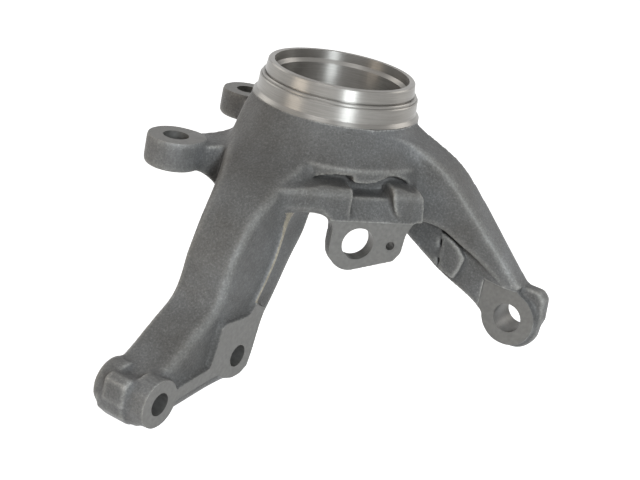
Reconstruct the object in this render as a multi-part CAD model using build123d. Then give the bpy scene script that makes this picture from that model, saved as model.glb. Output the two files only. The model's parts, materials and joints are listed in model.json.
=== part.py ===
"""Steering knuckle for a strut front suspension: one iron casting, machined after casting.

The wheel-bearing bore stands along Z and its seat is centred on the origin, with the
hub side up. The strut leg reaches out along -Y and the steering arm along +X.
"""
import os
from math import atan2, cos, degrees, hypot, radians, sin

from build123d import *

# Wheel bearing bore
seat_radius = 36.0
seat_length = 37.0
lip_radius = seat_radius - 3.5
lip_length = 6.0
mouth_radius = seat_radius + 2.0
mouth_depth = 5.0
mouth_chamfer = 2.0

# Machined collar on the hub side, band by band from the rim down
rim_radius = mouth_radius + 3.4
rim_break = 0.6
upper_band_radius = rim_radius + 0.8
upper_band_height = 6.3
groove_radius = rim_radius + 0.2
groove_height = 1.0
ridge_radius = rim_radius + 2.2
ridge_height = 1.6
lower_band_radius = rim_radius + 3.2
lower_band_height = 8.0
collar_base_radius = rim_radius + 5.5
collar_base_height = 2.0
band_break = 0.5

# Cast barrel: it flares out under the collar and is open underneath for the drive joint
barrel_radius = collar_base_radius + 0.3
barrel_foot_radius = barrel_radius - 3.2
barrel_foot_height = 4.0
flare_reach = 14.3
flare_drop = 29.5
flare_lip = 1.5
joint_space_radius = seat_radius + 9.5
joint_space_mouth = joint_space_radius + 12.5
joint_space_depth = 40.0
joint_space_run = 80.0

# Cast surface of flare and leg, as steps out from the barrel and down from the collar's foot
flare_steps = ((0, 0), (7.8, -11.6), (14.3, -18.6), (21.8, -22.9), (29.8, -26.6), (38.8, -31.6),
               (48.8, -38.6), (56.8, -46.6), (62.8, -56.6), (67.3, -66.6), (70.3, -78.6), (74.8, -87.6),
               (83.8, -94.6), (97.8, -104.8), (108.8, -112.2), (118.8, -117.8), (128.8, -121))
flare_floor_z = -160.0

# Strut leg
leg_end_y = -172.0
leg_end_arc = ((-172.0, -118.0), (-170.5, -125.0))
leg_top_z = 20.0
leg_root_y = -25.0
leg_flank_x = 24.0
leg_inner_x = -62.0
leg_inner_line = ((-166, -131.6), (-150, -131.2), (-134, -130), (-118, -128.5), (-104, -128), (-92, -126.6),
                  (-84, -119.6), (-78, -108), (-71.5, -98), (-65.5, -88.5), (-60.3, -79), (-55, -69),
                  (-49, -60), (-42, -53), (-34, -47.5), (-25, -43))
leg_back_line = ((-3, -146), (-5, -124), (-6, -106), (-13.5, -84), (-27, -60), (-38, -20))
leg_outer_round = 4.0
leg_inner_round = 6.5
leg_back_round = 6.0

# Strut bolts, their bosses and the machined face of the bracket
strut_face_x = 27.7
strut_back_x = -5.0
strut_bolt_radius = 6.1
strut_far_hole = (-159.9, -117.6)
strut_near_hole = (-98.7, -110.7)
strut_pad_radius = 12.8
strut_seat_radius = 12.5
strut_back_radius = 12.8
strut_back_depth = 11.0
strut_back_round = 1.2
pad_height = 7.7
pad_outline = ((-116, -89.5), (-112, -88), (-98, -89), (-93, -88.3), (-88.5, -84), (-79.7, -87.9), (-82.5, -96),
               (-84, -103), (-85.7, -111.3), (-88.2, -119.7), (-93.6, -122.7), (-100.2, -123.2), (-109, -120.6),
               (-113, -117), (-123, -117.6), (-135, -118.6), (-146, -120), (-146, -113.4), (-133.6, -111.9),
               (-121.5, -110.6), (-118.5, -101))
end_block_outline = ((-170.5, -109.6), (-174, -120.6), (-172.2, -127), (-165.4, -133.4), (-148, -132.8),
                     (-148, -109.6))
end_block_x = (-1.6, 16.0)
end_block_round = 1.4
end_lug_outline = ((-170.2, -106.2), (-174.2, -108.2), (-174.8, -120.6), (-160, -120.6), (-160, -108.5))
end_lug_x = (2.6, 17.0)
end_lug_round = 1.6

# Raised parting land along the inside of the leg
land_line = ((-68, -34), (-72, -41), (-74.5, -50), (-77, -60), (-81, -70), (-86, -79), (-92, -89))
land_width = 3.2
land_face_x = 26.6
land_root = 6.0

# Caliper ears
ear_face_z = -16.5
ear_thickness = 16.5
ear_hole_radius = 7.0
ear_boss_radius = 15.7
ear_round = 2.5
ear_a_place = (-48.1, -77.9)
ear_b_place = (-84.1, 35.6)
ear_neck_half = 11.0
ear_neck_line = ((62, 11), (50, 14), (40, 20))
ear_top_line = ((64, -17.2), (40, -9))
ear_low_line = ((40, -48), (68, -41.2), (76, -35), (82, -32.7))
ear_face_rise = 1.2

# Sensor tab and the skirt that carries it, facing outward at an angle about Z.
# Outlines are (along the tab, z); the two profiles are (reach from the axis, z)
sensor_azimuth = 52.5
sensor_face_radius = 66.0
sensor_tab_thickness = 8.0
sensor_hole_radius = 9.0
sensor_hole_place = (0.5, -51.5)
sensor_screw_radius = 2.5
sensor_screw_place = (19.5, -52.0)
tab_outline = ((-1.5, -67.1), (22.8, -61), (26.5, -56), (27.4, -45), (31, -38), (31, -34), (-23, -34),
               (-22, -36.5))
tab_left_arc = ((-22, -36.5), (-17.2, -39.6), (-15.4, -45))
tab_corner_arc = ((-15.4, -54), (-11.7, -63), (-1.5, -67.1))
skirt_outline = ((-49, -22.6), (-31, -21.4), (-25, -20), (-8, -20.8), (12, -18.4), (31, -20.6), (33.6, -24.4),
                 (34.4, -30), (36, -37), (36, -38.2), (-18, -38.2), (-21, -37.6), (-26, -36), (-49, -35))
skirt_profile = ((66.8, -39), (66.8, -24.4), (65.7, -22.2), (63.4, -20.7), (60, -19.4), (48, -17), (40.8, -17),
                 (40.8, -39))
notch_outline = ((-7.5, -18.8), (0, -19.2), (5.3, -18.6), (10.7, -16.6), (13, -15), (15.6, -18), (15.6, -25),
                 (17.4, -31), (20.8, -36.5), (20.8, -39), (-7.5, -39))
notch_profile = ((66.2, -39), (60.8, -26.8), (50.2, -26.8), (50.2, -12), (75, -12), (75, -39))
pocket_profile = ((50.2, -26.8), (50.2, -12), (75, -12), (75, -26.8))
arch_outline = ((-49, -32.6), (-26, -32.8), (-20.5, -36.6), (-18, -39), (-49, -39))
arch_profile = ((66.9, -32.5), (66, -34), (63.8, -36.4), (61, -38), (61, -39), (75, -39), (75, -32.5))
left_pocket = ((-31, -21.8), (-25.9, -18.4), (-20.6, -16.6), (-15.2, -15.7), (-7, -15.3), (-7, -21.2),
               (-14, -21), (-20, -20.6), (-25.5, -20.6))
right_pocket = ((11, -20), (12, -14.9), (19, -15.4), (25.6, -18.2), (31.5, -21.6), (26.4, -21.4), (20, -20.2))

# Steering arm; outlines are (x, z), lines seen from the hub side are (x, y)
arm_outer_line = ((40, 8), (52.5, 1.6), (61, -2.2), (72, -8.2), (89.5, -24), (105, -39.6), (118, -52.4), (128, -62.2))
rib_low_line = ((118, -66.5), (108.8, -60), (98.5, -53.6), (90.2, -49.2), (84, -45.8), (79, -43.5), (68, -42),
                (40, -38))
rib_front_line = ((40, -27), (47.7, -17), (53, -10.5), (60, -5.5), (70.6, -1), (89, 4), (105, 8), (135, 11))
arm_back_line = ((135, 25), (100, 25), (75, 22), (60, 18.5), (40, 16))
arm_back_y = 25.0
web_front_y = 12.5
web_low_line = ((112, -87), (105.2, -81.3), (94, -76.2), (83.3, -72.4), (64.6, -62.9), (50, -55))
web_pad_y = 8.5
web_pad_outline = ((77.8, -47), (84.5, -49.3), (89.1, -52.3), (93.5, -57), (91.9, -65), (89.3, -71), (79.5, -68))
web_root_y = 9.5
web_root_outline = ((50, -40), (75.8, -42), (76.2, -50), (77.8, -67.4), (64.6, -61), (50, -53))
arm_root_x = 40.0
arm_top_z = 20.0
arm_floor_z = -120.0
arm_root_y = -45.0
arm_round = 3.0

# Tie rod eye
eye_place = (124.5, -81.5)
eye_face_y = 13.0
eye_face_depth = 12.0
eye_back_y = 33.0
eye_hole_radius = 8.1
eye_face_round = 15.6
eye_back_round = 13.8
eye_corner_outline = ((106.6, -65.3), (124.5, -65.3), (124.5, -81.5), (107.2, -81.5))
eye_lug_outline = ((118, -62.2), (137.4, -62.2), (141.3, -65.6), (142.3, -78), (139.6, -87), (124.5, -81.5),
                   (118, -70))
eye_lug_y = (17.0, 26.0)
eye_lug_round = 1.5
eye_lobe_step = (3.0, -4.2)
eye_lobe_radius = 13.4
eye_lobe_round = 2.5

# Ball joint boss, opposite the strut leg
ball_boss_place = (2.0, -44.0)
ball_boss_radius = 17.0
ball_boss_y = (62.0, 88.0)
ball_boss_round = 2.5
ball_relief_radius = 12.0
ball_relief_run = 30.0
ball_hole_radius = 8.5
ball_neck_half = 13.0
ball_neck_outline = ((40, -6), (60, -12), (74, -26), (82, -32), (82, -56), (62, -58), (52, -40), (46, -22.5),
                     (40, -22.5))
ball_neck_round = 4.0

rim_z = seat_length / 2 + mouth_chamfer + mouth_depth
foot_z = -seat_length / 2 - lip_length
collar_foot_z = (rim_z - upper_band_height - groove_height - ridge_height
                 - lower_band_height - collar_base_height)
over = 10.0


def edges_of(*shapes):
    """Edges of several curves as one outline."""
    return [edge for shape in shapes for edge in shape.edges()]


def ring(points):
    """Edges of a closed outline with straight sides."""
    return Polyline(*points, close=True).edges()


def revolved(outline):
    """Solid of revolution about Z from an outline drawn with (radius, height)."""
    return revolve(Plane.XZ * make_face(outline), Axis.Z)


def across_x(outline, x_low, x_high):
    """Solid from a (y, z) outline, run along X between two places."""
    return extrude(Plane.YZ.offset(x_low) * make_face(outline), x_high - x_low)


def along_y(outline, y_low, y_high):
    """Solid from an (x, z) outline, run along Y between two places."""
    return extrude(Plane.XZ.offset(-y_high) * make_face(outline), y_high - y_low)


def upright(outline, z_low, z_high):
    """Solid from an (x, y) outline, run along Z between two places."""
    return Pos(0, 0, z_low) * extrude(make_face(outline), z_high - z_low)


def disc(place, radius):
    """Edges of a circle about a place in the drawing plane."""
    return (Pos(*place) * Circle(radius)).edges()


def collar():
    """Machined bands of the collar, still solid inside."""
    z1 = rim_z - upper_band_height
    z2 = z1 - groove_height
    z3 = z2 - ridge_height
    z4 = z3 - lower_band_height
    return revolved(ring((
        (0, rim_z), (rim_radius - rim_break, rim_z), (rim_radius, rim_z - rim_break),
        (upper_band_radius, z1), (groove_radius, z1), (groove_radius, z2),
        (ridge_radius - band_break, z2), (ridge_radius, z2 - band_break), (ridge_radius, z3),
        (lower_band_radius - band_break, z3), (lower_band_radius, z3 - band_break),
        (lower_band_radius + band_break, z4), (collar_base_radius, collar_foot_z), (0, collar_foot_z - band_break))))


def barrel():
    """Cast barrel round the bearing."""
    return revolved(ring((
        (0, collar_foot_z), (barrel_radius, collar_foot_z), (barrel_radius, foot_z + barrel_foot_height),
        (barrel_foot_radius, foot_z), (0, foot_z))))


def crown():
    """Everything under the flare's surface, from the barrel out to the end of the leg."""
    curve = Spline(*[(barrel_radius + r, collar_foot_z + z) for r, z in flare_steps])
    far = (curve @ 1).X
    return revolved(edges_of(curve, Polyline(
        curve @ 1, (far, flare_floor_z), (0, flare_floor_z), (0, collar_foot_z), curve @ 0)))


def bell():
    """Flare that widens the barrel between the strut leg and the steering arm."""
    top, low, rim = collar_foot_z, collar_foot_z - flare_drop, barrel_radius + flare_reach
    under = revolved(ring((
        (0, top), (rim, top), (rim, low + flare_lip), (rim - flare_lip, low), (barrel_foot_radius, foot_z),
        (0, foot_z))))
    side = barrel_radius + 2 * flare_reach
    plan = upright(ring(((0, 0), (side, 0), (side, -side), (0, -side))), flare_floor_z, leg_top_z)
    return crown() & under & plan


def bearing_bore():
    """Cutter for the mouth, the bearing seat and the inner lip."""
    half = seat_length / 2
    return revolved(ring((
        (0, rim_z + over), (mouth_radius, rim_z + over), (mouth_radius, rim_z - mouth_depth),
        (seat_radius, half), (seat_radius, -half), (lip_radius, -half),
        (lip_radius, foot_z - over), (0, foot_z - over))))


def joint_space():
    """Cutter that keeps the space under the bearing open for the drive joint."""
    low = foot_z - joint_space_depth
    return revolved(ring((
        (0, foot_z), (joint_space_radius, foot_z), (joint_space_mouth, low),
        (joint_space_mouth, low - joint_space_run), (0, low - joint_space_run))))


def leg_body():
    """Curved leg: side profile, plan profile and the flare's own surface, long edges rounded."""
    inner = Spline(*leg_inner_line)
    side = across_x(edges_of(
        inner, Polyline(inner @ 1, (leg_root_y, leg_top_z), (leg_end_y, leg_top_z), leg_end_arc[0]),
        ThreePointArc(*leg_end_arc, inner @ 0)), leg_inner_x, leg_flank_x)
    back = Spline(*leg_back_line)
    plan = upright(edges_of(back, Polyline(
        back @ 1, (leg_flank_x, 0), (leg_flank_x, leg_end_y - over), (leg_back_line[0][0], leg_end_y - over),
        back @ 0)), flare_floor_z, leg_top_z)
    leg = side & plan & crown()
    leg = fillet(flank_edges(leg)[-1], leg_outer_round)
    leg = fillet(flank_edges(leg)[0], leg_inner_round)
    back_edge = leg.edges().filter_by(
        lambda e: e.length > leg_flank_x * 6 and (e @ 0.5).X < leg_back_line[0][0]).sort_by(Axis.Z)[-1]
    return fillet(back_edge, leg_back_round)


def flank_edges(leg):
    """Long edges of the leg's flat flank, inner one first."""
    flank = leg.faces().filter_by(Plane.YZ).sort_by(Axis.X)[-1]
    return flank.edges().filter_by(lambda e: e.length > leg_flank_x * 6).sort_by(Axis.Z)


def strut_end():
    """Bosses for the far strut bolt, the square block between them and the lug on top."""
    front = across_x(disc(strut_far_hole, strut_pad_radius), strut_face_x - strut_back_depth, strut_face_x)
    back = across_x(disc(strut_far_hole, strut_back_radius), strut_back_x, strut_back_x + strut_back_depth)
    back = fillet(back.faces().sort_by(Axis.X)[0].edges(), strut_back_round)
    block = across_x(ring(end_block_outline), *end_block_x)
    block = fillet(block.edges(), end_block_round)
    lug = across_x(ring(end_lug_outline), *end_lug_x)
    lug = fillet(lug.edges(), end_lug_round)
    return front + back + block + lug


def strut_pads():
    """Machined face for the strut bracket: two pads and the strip between, and the parting land."""
    pads = across_x(ring(pad_outline), strut_face_x - pad_height, strut_face_x)
    outer = Spline(*land_line)
    inner = Pos(land_width, land_width / 3) * outer
    land = across_x(edges_of(outer, inner, Line(outer @ 0, inner @ 0), Line(outer @ 1, inner @ 1)),
                    land_face_x - land_root, land_face_x)
    return pads + land


def sensor_frame(radius):
    """Plane facing outward at the sensor's angle, with its y axis along Z."""
    a = radians(sensor_azimuth)
    out = Vector(sin(a), -cos(a), 0)
    return Plane(origin=out * radius, x_dir=(cos(a), sin(a), 0), z_dir=out)


def facing_out(outline, profile):
    """Solid with an outline seen from outside the tab and a (reach, z) profile seen along it."""
    far = max(r for r, z in profile)
    near = min(r for r, z in profile)
    width = max(abs(t) for t, z in outline) + over
    frame = sensor_frame(0)
    cross = Plane(origin=frame.x_dir * width, x_dir=frame.z_dir, z_dir=-frame.x_dir)
    seen = extrude(sensor_frame(far) * make_face(ring(outline)), near - far)
    return seen & extrude(cross * make_face(ring(profile)), 2 * width)


def skirt():
    """Skirt round the front of the barrel, rounded along its front, with the sensor tab under it."""
    corner = ThreePointArc(*tab_corner_arc)
    left = ThreePointArc(*tab_left_arc)
    tab = extrude(sensor_frame(sensor_face_radius) * make_face(edges_of(
        corner, left, Line(left @ 1, corner @ 0), Polyline(*tab_outline))), -sensor_tab_thickness)
    return facing_out(skirt_outline, skirt_profile) + tab


def skirt_hollows():
    """Cutters for the sloped notch, the round under the left end and the two pockets under the flare."""
    notch = facing_out(notch_outline, notch_profile)
    arch = facing_out(arch_outline, arch_profile)
    return notch + arch + facing_out(left_pocket, pocket_profile) + facing_out(right_pocket, pocket_profile)


def sensor_holes():
    """Cutters for the sensor body and its fixing screw."""
    face = sensor_frame(sensor_face_radius + over)
    run = -2 * over - sensor_tab_thickness
    big = extrude(face * Pos(*sensor_hole_place) * Circle(sensor_hole_radius), run)
    screw = extrude(face * Pos(*sensor_screw_place) * Circle(sensor_screw_radius), run)
    return big + screw


def ear(place):
    """Caliper ear: a round boss on a neck that widens and rises into the barrel."""
    x, y = place
    reach = hypot(x, y)
    back_z = ear_face_z - ear_thickness
    boss = Pos(x, y, back_z) * extrude(Circle(ear_boss_radius), ear_thickness)
    boss = fillet(boss.edges().group_by(Axis.Z)[0], ear_round)
    near = ThreePointArc(*ear_neck_line)
    far = mirror(near, Plane.XZ)
    plan = upright(edges_of(near, far, Line(near @ 1, far @ 1), Polyline(
        far @ 0, (reach, -ear_neck_half), (reach, ear_neck_half), near @ 0)), leg_inner_x, 0)
    top = Spline((reach, ear_face_z - ear_face_rise), *ear_top_line)
    low = Spline(*ear_low_line)
    side = along_y(edges_of(top, low, Line(top @ 1, low @ 0), Polyline(
        low @ 1, (reach, ear_low_line[-1][1]), top @ 0)), -2 * ear_boss_radius, 2 * ear_boss_radius)
    return boss + Rot(0, 0, degrees(atan2(y, x))) * (plan & side)


def arm():
    """Steering arm: an outer rib, a recessed web behind it and two raised levels on the web."""
    outer = Spline(*arm_outer_line)
    rib_low = Spline(*rib_low_line)
    rib = along_y(edges_of(outer, Line(outer @ 1, rib_low @ 0), rib_low, Line(rib_low @ 1, outer @ 0)),
                  arm_root_y, arm_back_y)
    front = Spline(*rib_front_line)
    back = Spline(*arm_back_line)
    plan = upright(edges_of(front, Line(front @ 1, back @ 0), back, Line(back @ 1, front @ 0)),
                   arm_floor_z, arm_top_z)
    rib = rib & plan
    rib = fillet(rib.edges().filter_by(lambda e: e.length > 2 * arm_root_x).sort_by(Axis.Z)[-2:], arm_round)
    web_low = Spline(*web_low_line)
    web = along_y(edges_of(outer, Line(outer @ 1, web_low @ 0), web_low, Line(web_low @ 1, outer @ 0)),
                  web_front_y, arm_back_y)
    web = web & plan_behind(back)
    pad = along_y(ring(web_pad_outline), web_pad_y, web_front_y + arm_round)
    root = along_y(ring(web_root_outline), web_root_y, web_front_y + arm_round)
    return rib + web + pad + root


def plan_behind(back):
    """Room in front of the arm's back line, seen from the hub side."""
    return upright(edges_of(back, Polyline(
        back @ 1, (arm_root_x, arm_root_y), ((back @ 0).X, arm_root_y), back @ 0)), arm_floor_z, arm_top_z)


def eye():
    """Tie rod eye: spot face in front, narrower boss behind, corner lug and lower lobe between."""
    x, z = eye_place
    front = along_y(disc(eye_place, eye_face_round), eye_face_y, eye_face_y + eye_face_depth)
    corner = along_y(ring(eye_corner_outline), eye_face_y, eye_face_y + eye_face_depth)
    back = along_y(disc(eye_place, eye_back_round), eye_face_y + eye_lobe_round, eye_back_y)
    lug = along_y(ring(eye_lug_outline), *eye_lug_y)
    lug = fillet(lug.edges().filter_by(lambda e: (e @ 0.5).X > x + eye_back_round), eye_lug_round)
    lobe = along_y(disc((x + eye_lobe_step[0], z + eye_lobe_step[1]), eye_lobe_radius), *eye_lug_y)
    lobe = fillet(lobe.edges().filter_by(GeomType.CIRCLE), eye_lobe_round)
    return front + corner + back + lug + lobe


def ball_boss():
    """Lower boss for the ball joint on a thick neck behind the barrel."""
    x, _ = ball_boss_place
    boss = along_y(disc(ball_boss_place, ball_boss_radius), *ball_boss_y)
    boss = fillet(boss.edges().filter_by(GeomType.CIRCLE), ball_boss_round)
    neck = across_x(ring(ball_neck_outline), x - ball_neck_half, x + ball_neck_half)
    sides = neck.faces().filter_by(Plane.YZ)
    long_edges = [e for f in sides for e in f.edges() if (e @ 0.5).Y > barrel_radius]
    neck = fillet(long_edges, ball_neck_round)
    return boss + neck


def build():
    """The casting, then every machined bore cut from it."""
    front = bell() + skirt() - skirt_hollows()
    cast = collar() + barrel() + front + leg_body() + strut_end() + strut_pads()
    cast = cast + arm() + eye() + ball_boss()
    cast += ear(ear_a_place)
    cast += ear(ear_b_place)
    cast -= joint_space()
    cast -= bearing_bore()
    cast -= sensor_holes()
    for x, y in (ear_a_place, ear_b_place):
        cast -= Pos(x, y, ear_face_z - ear_thickness / 2) * Cylinder(ear_hole_radius, 3 * ear_thickness)
    for hole in (strut_far_hole, strut_near_hole):
        cast -= across_x(disc(hole, strut_seat_radius), strut_back_x - 2 * over, strut_back_x)
        cast -= across_x(disc(hole, strut_bolt_radius), strut_back_x - over, strut_face_x + over)
    cast -= along_y(disc(eye_place, eye_hole_radius), eye_face_y - over, eye_back_y + over)
    low, high = ball_boss_y
    cast -= along_y(disc(ball_boss_place, ball_relief_radius), low - ball_relief_run, low)
    cast -= along_y(disc(ball_boss_place, ball_hole_radius), low - ball_relief_run, high + over)
    return cast


if __name__ == "__main__":
    os.makedirs("parts", exist_ok=True)
    knuckle = build()
    export_step(knuckle, "parts/knuckle.step")
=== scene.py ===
import json
from math import cos, pi, radians, sin

import bmesh
import bpy
import numpy as np
from mathutils import Matrix, Vector


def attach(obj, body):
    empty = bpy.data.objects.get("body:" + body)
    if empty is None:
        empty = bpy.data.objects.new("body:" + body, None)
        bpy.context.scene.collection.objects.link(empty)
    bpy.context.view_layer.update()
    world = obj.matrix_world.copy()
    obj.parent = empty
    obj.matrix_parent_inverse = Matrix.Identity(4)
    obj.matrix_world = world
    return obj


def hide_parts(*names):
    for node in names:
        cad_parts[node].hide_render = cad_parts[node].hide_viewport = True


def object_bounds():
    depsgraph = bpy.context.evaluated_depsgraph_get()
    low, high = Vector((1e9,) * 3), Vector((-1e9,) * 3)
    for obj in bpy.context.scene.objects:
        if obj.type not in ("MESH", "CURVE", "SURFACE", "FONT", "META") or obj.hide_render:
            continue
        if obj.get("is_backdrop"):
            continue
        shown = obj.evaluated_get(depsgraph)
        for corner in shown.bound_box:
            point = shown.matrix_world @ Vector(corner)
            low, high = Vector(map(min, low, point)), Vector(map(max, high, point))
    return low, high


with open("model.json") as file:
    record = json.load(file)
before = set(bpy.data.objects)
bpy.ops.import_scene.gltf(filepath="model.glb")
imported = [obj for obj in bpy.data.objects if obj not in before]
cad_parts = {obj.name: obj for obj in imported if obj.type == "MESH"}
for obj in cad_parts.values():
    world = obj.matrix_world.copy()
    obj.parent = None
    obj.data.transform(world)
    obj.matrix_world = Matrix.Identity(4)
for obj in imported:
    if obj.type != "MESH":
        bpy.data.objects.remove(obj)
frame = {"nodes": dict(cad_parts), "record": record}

# The knuckle's solid is remade as a casting: its holes are filled and stock is left on its
# machined faces, the skin is remeshed and softened, and then the tools cut it to size again.
low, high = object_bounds()
mounts = {m["name"]: m for m in frame["record"]["mounts"]}
small_holes = [m for m in mounts.values() if m["name"] != "bearing_bore"]
ears = [mounts[name]["pos_m"] for name in ("caliper_bolt_a", "caliper_bolt_b")]

# Machined faces, in metres: the same places as in the solid
strut_face_x = 0.0277
ear_face_z = -0.0165
eye_face_y = 0.013
tab_face = 0.066
rim_z = 0.0255
foot_z = -0.0245
collar_foot_z = 0.0066
seat_radius, seat_half = 0.036, 0.0185
lip_radius = 0.0325
mouth_radius, mouth_depth = 0.038, 0.005
out = Vector(mounts["sensor_bore"]["axis"])
along = Vector((-out.y, out.x, 0))

# The collar's outline from its foot up to the rim, as radius and height
collar_bands = [(0.0469, collar_foot_z), (0.0451, 0.0086), (0.0446, 0.0161), (0.0441, 0.0166),
                (0.0436, 0.0166), (0.0436, 0.0177), (0.0431, 0.0182), (0.0416, 0.0182),
                (0.0416, 0.0192), (0.0422, 0.0192), (0.0414, 0.0249), (0.0408, rim_z)]

# Where each machined face is looked for, so that nothing else in its plane is taken for it
face_slack = 3e-5
ears_past_radius = 0.07
eye_past_x = 0.1
tab_below_z = -0.038

# The rough casting: stock on the machined faces, filled holes, size and number of its facets
stock = 0.0013
collar_stock = 0.002
collar_wall = (0.0395, 0.05)
collar_wall_foot = collar_foot_z + 0.0005
bore_plug_radius = 0.0385
plug_overlap = 0.001
voxel = 0.0009
weld = 1e-6
most_triangles = 185000

# Tools: how far each one reaches across its face, and how far it runs past the part
strut_facing = ((-0.19, -0.07), (-0.15, -0.08))
eye_facing = ((0.1064, 0.15), (-0.11, -0.0648))
tab_facing = ((-0.02, 0.034), (-0.08, -0.0385))
rim_facing = (-0.06, 0.06)
ear_facing_radius = 0.0175
turning_radius = 0.052
turning_foot_z = collar_foot_z - 0.0001
tool_run = 0.01
drill_run = 0.004
collar_segments, hole_segments, plug_segments = 256, 64, 48

# Places whose inner corners are well rounded, as centre and radius
wide_fillets = [
    ((0.024, -0.045, -0.015), 0.016), ((0.026, -0.062, -0.03), 0.014),
    ((-0.036, -0.058, -0.025), 0.018), ((-0.052, 0.024, -0.025), 0.018),
    ((-0.024, -0.066, -0.035), 0.016), ((0.002, 0.05, -0.02), 0.02),
    ((0.05, -0.015, -0.005), 0.016), ((0.055, 0.0, -0.03), 0.016),
    ((0.112, 0.014, -0.066), 0.008),
]

# Places whose inner corners stay tight: the web of the arm and the pockets of the skirt
crisp_places = [((0.084, 0.01, -0.056), 0.022), ((0.048, -0.05, -0.024), 0.02)]

# The worn rims of the ears
ear_rims = [((x, y, ear_face_z), 0.017) for x, y, _ in ears]

# Softening: passes, weight of each pass, and the width over which a kind of place fades out
even_passes, corner_passes, fillet_passes, rim_passes = 2, 16, 90, 26
even_weight, fillet_weight, rim_weight = 0.5, 0.6, 0.6
crisp_fade, fillet_fade, rim_fade = 0.006, 0.008, 0.002
crisp_hold = 0.85
passes_per_normal = 5

# Which faces take which material: limits of the turned iron and of the land left by the mould
turned_collar_radius = 0.0475
turned_bore_radius = 0.0391
turned_slack = 0.0002
land_low, land_high = (0.0256, -0.094, -0.092), (0.1, -0.066, -0.036)
land_tilt = 0.75
flat_tilt = 0.99
wall_tilt = 0.05
wall_slack = 2e-5
wall_run = 0.001
crease_angle = radians(35)
cast, turned, milled, mould_land = range(4)


# Mesh helpers
def new_object(name, verts, faces):
    mesh = bpy.data.meshes.new(name)
    mesh.from_pydata([tuple(v) for v in verts], [], faces)
    obj = bpy.data.objects.new(name, mesh)
    bpy.context.scene.collection.objects.link(obj)
    return obj


def tidy(mesh):
    """Weld the mesh and turn its faces outward."""
    bm = bmesh.new()
    bm.from_mesh(mesh)
    bmesh.ops.remove_doubles(bm, verts=bm.verts, dist=weld)
    bmesh.ops.recalc_face_normals(bm, faces=bm.faces)
    bm.to_mesh(mesh)
    bm.free()


def placed(obj, matrix):
    """The object with the matrix worked into its mesh, and the mesh tidied."""
    if matrix is not None:
        obj.data.transform(matrix)
    tidy(obj.data)
    return obj


def lathe(name, outline, segments, matrix=None):
    """Closed solid of revolution from a loop of (radius, height) points."""
    verts, rings = [], []
    for r, z in outline:
        if r == 0:
            rings.append([len(verts)] * segments)
            verts.append(Vector((0, 0, z)))
        else:
            rings.append(list(range(len(verts), len(verts) + segments)))
            verts += [Vector((r * cos(2 * pi * i / segments), r * sin(2 * pi * i / segments), z))
                      for i in range(segments)]
    faces = []
    for a, b in zip(rings, rings[1:] + rings[:1]):
        for i in range(segments):
            j = (i + 1) % segments
            face = list(dict.fromkeys((a[i], a[j], b[j], b[i])))
            if len(face) > 2:
                faces.append(face)
    return placed(new_object(name, verts, faces), matrix)


def block(name, x_range, y_range, z_range, matrix=None):
    verts = [(x, y, z) for x in x_range for y in y_range for z in z_range]
    faces = [(0, 1, 3, 2), (4, 6, 7, 5), (0, 4, 5, 1), (2, 3, 7, 6), (0, 2, 6, 4), (1, 5, 7, 3)]
    return placed(new_object(name, verts, faces), matrix)


def pin(name, mount, segments, wider=0, longer=0):
    """Solid pin in a mount's hole, with a radius wider and each end longer by these amounts."""
    r = mount["dims"]["r_mm"] / 1000 + wider
    half = mount["dims"]["length_mm"] / 2000 + longer
    turn = Vector((0, 0, 1)).rotation_difference(Vector(mount["axis"])).to_matrix().to_4x4()
    matrix = Matrix.Translation(Vector(mount["pos_m"])) @ turn
    return lathe(name, [(0, -half), (r, -half), (r, half), (0, half)], segments, matrix)


def apply_modifiers(obj):
    graph = bpy.context.evaluated_depsgraph_get()
    mesh = bpy.data.meshes.new_from_object(obj.evaluated_get(graph))
    obj.modifiers.clear()
    obj.data = mesh


def read(items, key, width=3, kind=float):
    """One row of numbers for each vertex, edge or face of a mesh."""
    values = np.empty(width * len(items), dtype=kind)
    items.foreach_get(key, values)
    return values.reshape(-1, width)


def put_coords(mesh, co):
    mesh.vertices.foreach_set("co", co.ravel())
    mesh.update()


def machined_planes(points):
    """For each machined face, its outward direction and which of the points lie in it."""
    x, y, z = points.T
    front = np.array(out)
    return [
        (np.array((1, 0, 0)), np.abs(x - strut_face_x) < face_slack),
        (np.array((0, 0, 1)), (np.abs(z - ear_face_z) < face_slack) & (np.hypot(x, y) > ears_past_radius)),
        (np.array((0, -1, 0)), (np.abs(y - eye_face_y) < face_slack) & (x > eye_past_x)),
        (front, (np.abs(points @ front - tab_face) < face_slack) & (z < tab_below_z)),
    ]


# The casting before machining
def fill_holes(obj):
    outline = [(0, foot_z), (bore_plug_radius, foot_z), (bore_plug_radius, rim_z), (0, rim_z)]
    plugs = [lathe("plug", outline, hole_segments)]
    plugs += [pin("plug", m, plug_segments, wider=plug_overlap) for m in small_holes]
    bm = bmesh.new()
    for part in [obj] + plugs:
        bm.from_mesh(part.data)
    bm.to_mesh(obj.data)
    bm.free()
    for plug in plugs:
        bpy.data.objects.remove(plug)


def leave_stock(mesh):
    """Move the machined faces, the collar and the rim outward, for the tools to cut back."""
    co = read(mesh.vertices, "co")
    z, radius = co[:, 2].copy(), np.hypot(co[:, 0], co[:, 1])
    for outward, inside in machined_planes(co):
        co[inside] += outward * stock
    wall = (z > collar_wall_foot) & (radius > collar_wall[0]) & (radius < collar_wall[1])
    co[wall, :2] *= 1 + collar_stock / radius[wall][:, None]
    co[np.abs(z - rim_z) < face_slack, 2] += stock
    put_coords(mesh, co)


def rough_casting():
    obj = bpy.data.objects.new("casting", frame["nodes"]["knuckle"].data.copy())
    bpy.context.scene.collection.objects.link(obj)
    tidy(obj.data)
    fill_holes(obj)
    leave_stock(obj.data)
    skin = obj.modifiers.new("skin", "REMESH")
    skin.mode = "VOXEL"
    skin.voxel_size = voxel
    apply_modifiers(obj)
    return obj


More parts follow.
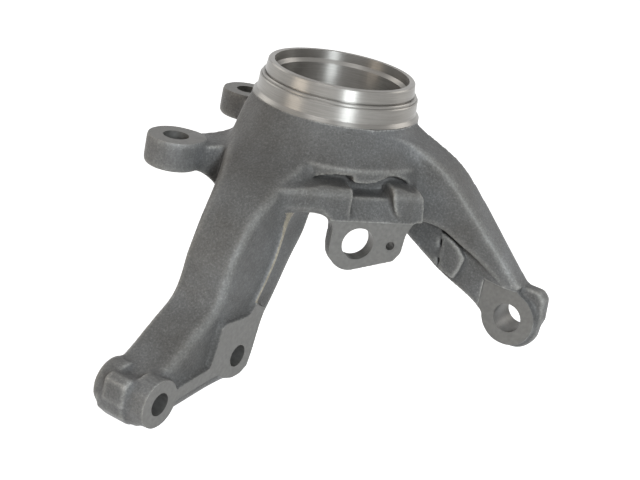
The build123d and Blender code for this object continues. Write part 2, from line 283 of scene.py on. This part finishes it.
# Cast corners and edges
def averaged(co, pairs, count):
    """Mean place of each vertex's neighbours."""
    a, b = pairs.T
    n = len(co)
    total = np.stack([np.bincount(a, co[b, k], n) + np.bincount(b, co[a, k], n) for k in range(3)], 1)
    return total / count[:, None]


def smooth(mesh, passes, weight, fill):
    """Even the skin out; with fill only hollows rise, which rounds inner corners as a casting's are."""
    pairs = read(mesh.edges, "vertices", 2, np.int64)
    co = read(mesh.vertices, "co")
    count = np.maximum(np.bincount(pairs.ravel(), minlength=len(co)), 1)
    for step in range(passes):
        move = averaged(co, pairs, count) - co
        if fill:
            if step % passes_per_normal == 0:
                put_coords(mesh, co)
                normal = read(mesh.vertices, "normal")
            rise = np.maximum((move * normal).sum(1), 0)
            move = normal * rise[:, None]
        co = co + move * weight[:, None]
    put_coords(mesh, co)


def near(co, places, soft):
    """Weight of 1 inside the balls at these places, falling to 0 over a soft edge."""
    weight = np.zeros(len(co))
    for centre, radius in places:
        d = np.linalg.norm(co - np.array(centre), axis=1)
        weight = np.maximum(weight, np.clip((radius + soft - d) / soft, 0, 1))
    return weight


def soften(mesh):
    co = read(mesh.vertices, "co")
    even = np.full(len(co), even_weight)
    crisp = near(co, crisp_places, crisp_fade)
    wide = near(co, wide_fillets, fillet_fade)
    rims = near(co, ear_rims, rim_fade)
    smooth(mesh, even_passes, even, fill=False)
    smooth(mesh, corner_passes, even * (1 - crisp_hold * crisp), fill=True)
    smooth(mesh, fillet_passes, wide * fillet_weight, fill=True)
    smooth(mesh, rim_passes, rims * rim_weight, fill=False)
    smooth(mesh, even_passes, even, fill=False)


def thin_out(obj):
    """Fewer triangles where the skin is flat."""
    mod = obj.modifiers.new("thin", "DECIMATE")
    mod.ratio = min(1.0, most_triangles / (2 * len(obj.data.polygons)))
    apply_modifiers(obj)


# Machining
def cut(obj, tool):
    mod = obj.modifiers.new("cut", "BOOLEAN")
    mod.operation = "DIFFERENCE"
    mod.solver = "EXACT"
    mod.object = tool
    apply_modifiers(obj)
    bpy.data.objects.remove(tool)


def turn_collar(obj):
    top = rim_z + tool_run
    outline = [(turning_radius, turning_foot_z)] + collar_bands
    outline += [(collar_bands[-1][0], top), (turning_radius, top)]
    cut(obj, lathe("turning", outline, collar_segments))
    cut(obj, block("facing", rim_facing, rim_facing, (rim_z, rim_z + 2 * tool_run)))


def bore_seat(obj):
    cut(obj, lathe("boring", [
        (0, rim_z + tool_run), (mouth_radius, rim_z + tool_run), (mouth_radius, rim_z - mouth_depth),
        (seat_radius, seat_half), (seat_radius, -seat_half), (lip_radius, -seat_half),
        (lip_radius, foot_z - tool_run), (0, foot_z - tool_run)], collar_segments))


def face_pads(obj):
    cut(obj, block("facing", (strut_face_x, strut_face_x + tool_run), *strut_facing))
    eye_x, eye_z = eye_facing
    cut(obj, block("facing", eye_x, (eye_face_y - tool_run, eye_face_y), eye_z))
    outline = [(0, ear_face_z), (ear_facing_radius, ear_face_z),
               (ear_facing_radius, ear_face_z + tool_run), (0, ear_face_z + tool_run)]
    for x, y, _ in ears:
        cut(obj, lathe("facing", outline, hole_segments, Matrix.Translation((x, y, 0))))
    sideways = Matrix((along, Vector((0, 0, 1)), out)).transposed().to_4x4()
    cut(obj, block("facing", *tab_facing, (0, tool_run), Matrix.Translation(out * tab_face) @ sideways))


def drill_holes(obj):
    for m in small_holes:
        cut(obj, pin("drill", m, hole_segments, longer=drill_run))


# Materials
def node_tree(name):
    mat = bpy.data.materials.new(name)
    mat.use_nodes = True
    nodes = mat.node_tree.nodes
    nodes.clear()
    return mat, nodes, mat.node_tree.links


def add(nodes, kind, **values):
    """New node, with each value set as its property or else on its socket of that name."""
    node = nodes.new(kind)
    for key, value in values.items():
        if hasattr(node, key):
            setattr(node, key, value)
        else:
            node.inputs[key.replace("_", " ")].default_value = value
    return node


def ramp(nodes, stops):
    """Colour ramp; a stop's colour may be one number for a grey."""
    node = nodes.new("ShaderNodeValToRGB")
    while len(node.color_ramp.elements) < len(stops):
        node.color_ramp.elements.new(0.5)
    for element, (place, colour) in zip(node.color_ramp.elements, stops):
        element.position = place
        element.color = (colour, colour, colour, 1) if isinstance(colour, float) else (*colour, 1)
    return node


def multiplied(nodes, links, first, second):
    """Colour socket that carries the product of two colour sockets."""
    mix = add(nodes, "ShaderNodeMix", data_type="RGBA", blend_type="MULTIPLY")
    mix.inputs["Factor"].default_value = 1.0
    links.new(first, mix.inputs["A"])
    links.new(second, mix.inputs["B"])
    return mix.outputs["Result"]


def finish_surface(nodes, links, shader, colour, normal):
    links.new(colour, shader.inputs["Base Color"])
    links.new(normal, shader.inputs["Normal"])
    target = add(nodes, "ShaderNodeOutputMaterial")
    links.new(shader.outputs["BSDF"], target.inputs["Surface"])


def cast_material(name, tones, edge):
    """Blasted casting skin: uneven grey, fine grain and pits, with painted shade in hollows and convex edges
    lightened by painted highlight and some wear.
    """
    mat, nodes, links = node_tree(name)
    place = add(nodes, "ShaderNodeTexCoord")
    blotch = add(nodes, "ShaderNodeTexNoise", Scale=28.0, Detail=4.0, Roughness=0.6)
    grain = add(nodes, "ShaderNodeTexNoise", Scale=900.0, Detail=3.0, Roughness=0.7)
    pits = add(nodes, "ShaderNodeTexVoronoi", Scale=560.0)
    for texture in (blotch, grain, pits):
        links.new(place.outputs["Object"], texture.inputs["Vector"])
    tone = ramp(nodes, list(zip((0.3, 0.55, 0.8), tones)))
    links.new(blotch.outputs["Fac"], tone.inputs["Fac"])
    speck = ramp(nodes, [(0.3, 0.72), (0.55, 1.0), (0.75, 1.5)])
    links.new(grain.outputs["Fac"], speck.inputs["Fac"])
    shape = add(nodes, "ShaderNodeNewGeometry")
    # Pointiness ramp: painted shade halves the colour in hollows, and convex edges are lifted by the edge
    # factor as painted highlight with some wear
    edge_wear_and_painted_light = ramp(nodes, [(0.44, 0.5), (0.5, 1.0), (0.535, edge)])
    links.new(shape.outputs["Pointiness"], edge_wear_and_painted_light.inputs["Fac"])
    colour = multiplied(nodes, links, tone.outputs["Color"], speck.outputs["Color"])
    colour = multiplied(nodes, links, colour, edge_wear_and_painted_light.outputs["Color"])
    grainy = add(nodes, "ShaderNodeBump", Strength=0.4, Distance=0.0005)
    pitted = add(nodes, "ShaderNodeBump", Strength=0.35, Distance=0.0004)
    links.new(grain.outputs["Fac"], grainy.inputs["Height"])
    links.new(pits.outputs["Distance"], pitted.inputs["Height"])
    links.new(grainy.outputs["Normal"], pitted.inputs["Normal"])
    shader = add(nodes, "ShaderNodeBsdfPrincipled", Metallic=0.05, Roughness=0.42, Specular_IOR_Level=0.16)
    finish_surface(nodes, links, shader, colour, pitted.outputs["Normal"])
    return mat


def machined_material(name, colour, roughness, stretch, around=False):
    """Bare iron with fine tool marks, squeezed along each axis by the stretch, or turned round Z."""
    mat, nodes, links = node_tree(name)
    place = add(nodes, "ShaderNodeTexCoord")
    scale = add(nodes, "ShaderNodeMapping", Scale=stretch)
    marks = add(nodes, "ShaderNodeTexNoise", Scale=60.0, Detail=3.0)
    links.new(place.outputs["Object"], scale.inputs["Vector"])
    links.new(scale.outputs["Vector"], marks.inputs["Vector"])
    middle_tone = Vector(colour)
    tone = ramp(nodes, [(0.3, middle_tone * 0.88), (0.7, middle_tone * 1.1)])
    links.new(marks.outputs["Fac"], tone.inputs["Fac"])
    bump = add(nodes, "ShaderNodeBump", Strength=0.08, Distance=0.0003)
    links.new(marks.outputs["Fac"], bump.inputs["Height"])
    shader = add(nodes, "ShaderNodeBsdfPrincipled", Metallic=0.5, Roughness=roughness, Specular_IOR_Level=0.2)
    if around:
        shader.inputs["Metallic"].default_value = 1.0
        shader.inputs["Anisotropic"].default_value = 0.85
        shader.inputs["Anisotropic Rotation"].default_value = 0.25
        lay = add(nodes, "ShaderNodeVectorMath", operation="CROSS_PRODUCT")
        lay.inputs[1].default_value = (0, 0, 1)
        links.new(place.outputs["Object"], lay.inputs[0])
        links.new(lay.outputs["Vector"], shader.inputs["Tangent"])
    finish_surface(nodes, links, shader, tone.outputs["Color"], bump.outputs["Normal"])
    return mat


def in_holes(centre, normal):
    """Which faces are the walls of the small holes."""
    found = np.zeros(len(centre), dtype=bool)
    for m in small_holes:
        axis, offset = np.array(m["axis"]), centre - np.array(m["pos_m"])
        depth = offset @ axis
        radius = np.linalg.norm(offset - depth[:, None] * axis, axis=1)
        wall = (radius < m["dims"]["r_mm"] / 1000 + wall_slack) & (np.abs(normal @ axis) < wall_tilt)
        found |= wall & (np.abs(depth) < m["dims"]["length_mm"] / 2000 + wall_run)
    return found


def material_numbers(centre, normal):
    """Number of each face's material; drilled holes count as milled."""
    z, radius = centre[:, 2], np.hypot(centre[:, 0], centre[:, 1])
    kind = np.full(len(centre), cast, dtype=np.int32)
    kind[(radius < turned_collar_radius) & (z > collar_foot_z - turned_slack)] = turned
    kind[(radius < turned_bore_radius) & (z > foot_z + turned_slack)] = turned
    land = ((centre > land_low) & (centre < land_high)).all(1) & (normal[:, 0] > land_tilt)
    kind[land] = mould_land
    for outward, inside in machined_planes(centre):
        kind[inside & (normal @ outward > flat_tilt)] = milled
    kind[in_holes(centre, normal)] = milled
    return kind


def dress(obj):
    mesh = obj.data
    mesh.materials.clear()
    skin_tones = [(0.088, 0.084, 0.079), (0.122, 0.12, 0.117), (0.165, 0.165, 0.166)]
    land_tones = [(0.2, 0.18, 0.14), (0.27, 0.24, 0.19), (0.33, 0.3, 0.24)]
    in_order = {
        # The last number of each cast material is its edge factor: painted highlight with some wear on convex
        # edges
        cast: cast_material("cast_iron", skin_tones, (2.3, 2.28, 2.2)),
        turned: machined_material("turned_iron", (0.25, 0.241, 0.226), 0.38, (1, 1, 40), around=True),
        milled: machined_material("milled_iron", (0.155, 0.151, 0.143), 0.42, (8, 8, 8)),
        mould_land: cast_material("parting_land", land_tones, 1.2),
    }
    for number in sorted(in_order):
        mesh.materials.append(in_order[number])
    kind = material_numbers(read(mesh.polygons, "center"), read(mesh.polygons, "normal"))
    mesh.polygons.foreach_set("material_index", kind)
    bpy.context.view_layer.objects.active = obj
    obj.select_set(True)
    bpy.ops.object.shade_smooth_by_angle(angle=crease_angle)
    obj.select_set(False)


casting = rough_casting()
soften(casting.data)
thin_out(casting)
turn_collar(casting)
bore_seat(casting)
face_pads(casting)
drill_holes(casting)
tidy(casting.data)
dress(casting)
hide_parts("knuckle")
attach(casting, "root")

# Floor, light and camera
floor_reach = 6
floor_grey = (0.8, 0.8, 0.8, 1)
white = (1, 1, 1, 1)
lamp_distance = 1.2
middle = Vector((0.02, -0.04, -0.05))
focal_pixels, half_width_pixels = 1300, 320
camera_place = (0.3550, -0.6104, 0.1997)
camera_right, camera_up = (0.818, 0.5469, 0.178), (-0.3436, 0.2165, 0.9138)
camera_back = (0.4613, -0.8087, 0.365)


def seen_rays(nodes, links):
    """Socket that is 1 for rays that see the background: straight, mirrored or through glass."""
    path = add(nodes, "ShaderNodeLightPath")
    rays = add(nodes, "ShaderNodeMath", operation="MAXIMUM")
    more = add(nodes, "ShaderNodeMath", operation="MAXIMUM")
    links.new(path.outputs["Is Camera Ray"], rays.inputs[0])
    links.new(path.outputs["Is Glossy Ray"], rays.inputs[1])
    links.new(rays.outputs[0], more.inputs[0])
    links.new(path.outputs["Is Transmission Ray"], more.inputs[1])
    return more.outputs[0]


def choose_seen(nodes, links, unseen, seen, target):
    """Lead one shader to the target for the rays that see the background, the other for the rest."""
    choice = add(nodes, "ShaderNodeMixShader")
    links.new(seen_rays(nodes, links), choice.inputs[0])
    links.new(unseen.outputs[0], choice.inputs[1])
    links.new(seen.outputs[0], choice.inputs[2])
    links.new(choice.outputs[0], target.inputs["Surface"])


def floor():
    corners = [(x * floor_reach, y * floor_reach, low.z) for x, y in ((-1, -1), (1, -1), (1, 1), (-1, 1))]
    obj = new_object("floor", corners, [(0, 1, 2, 3)])
    mat, nodes, links = node_tree("floor")
    plain = add(nodes, "ShaderNodeBsdfDiffuse", Color=floor_grey)
    glow = add(nodes, "ShaderNodeEmission", Color=white, Strength=0.9)
    both = add(nodes, "ShaderNodeAddShader")
    links.new(plain.outputs[0], both.inputs[0])
    links.new(glow.outputs[0], both.inputs[1])
    choose_seen(nodes, links, plain, both, add(nodes, "ShaderNodeOutputMaterial"))
    obj.data.materials.append(mat)
    obj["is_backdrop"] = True


def sky():
    world = bpy.data.worlds.new("studio")
    world.use_nodes = True
    nodes, links = world.node_tree.nodes, world.node_tree.links
    nodes.clear()
    dim = add(nodes, "ShaderNodeBackground", Color=(0.95, 0.98, 1.0, 1), Strength=0.1)
    bright = add(nodes, "ShaderNodeBackground", Color=white, Strength=1.0)
    choose_seen(nodes, links, dim, bright, add(nodes, "ShaderNodeOutputWorld"))
    bpy.context.scene.world = world


def lamp(name, azimuth, elevation, power, size, colour=(1, 1, 1)):
    """Soft box aimed at the middle, placed by its angle from the leg's side towards the arm's."""
    data = bpy.data.lights.new(name, "AREA")
    data.energy = power
    data.shape = "RECTANGLE"
    data.size, data.size_y = size
    data.color = colour
    obj = bpy.data.objects.new(name, data)
    a, e = radians(azimuth), radians(elevation)
    ray = Vector((sin(a) * cos(e), -cos(a) * cos(e), sin(e)))
    obj.location = middle + ray * lamp_distance
    obj.rotation_euler = (-ray).to_track_quat("-Z", "Y").to_euler()
    bpy.context.scene.collection.objects.link(obj)


def camera():
    data = bpy.data.cameras.new("camera")
    data.sensor_fit = "HORIZONTAL"
    data.lens = data.sensor_width / 2 / (half_width_pixels / focal_pixels)
    obj = bpy.data.objects.new("camera", data)
    turn = Matrix((camera_right, camera_up, camera_back)).transposed().to_4x4()
    obj.matrix_world = Matrix.Translation(camera_place) @ turn
    bpy.context.scene.collection.objects.link(obj)
    bpy.context.scene.camera = obj


floor()
sky()
camera()
lamp("left", -30, 14, 2.7, (0.45, 0.3), (1.0, 0.87, 0.72))
lamp("right", 50, 20, 11.0, (0.32, 0.3), (0.88, 0.95, 1.0))
lamp("high", 5, 48, 3.0, (0.5, 0.5))
lamp("back", -92, 30, 2.0, (0.6, 0.6), (1.0, 0.97, 0.93))
lamp("far", 150, 30, 2.5, (0.6, 0.6), (1.0, 0.97, 0.93))
bpy.context.scene.view_settings.view_transform = "Standard"

low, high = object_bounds()
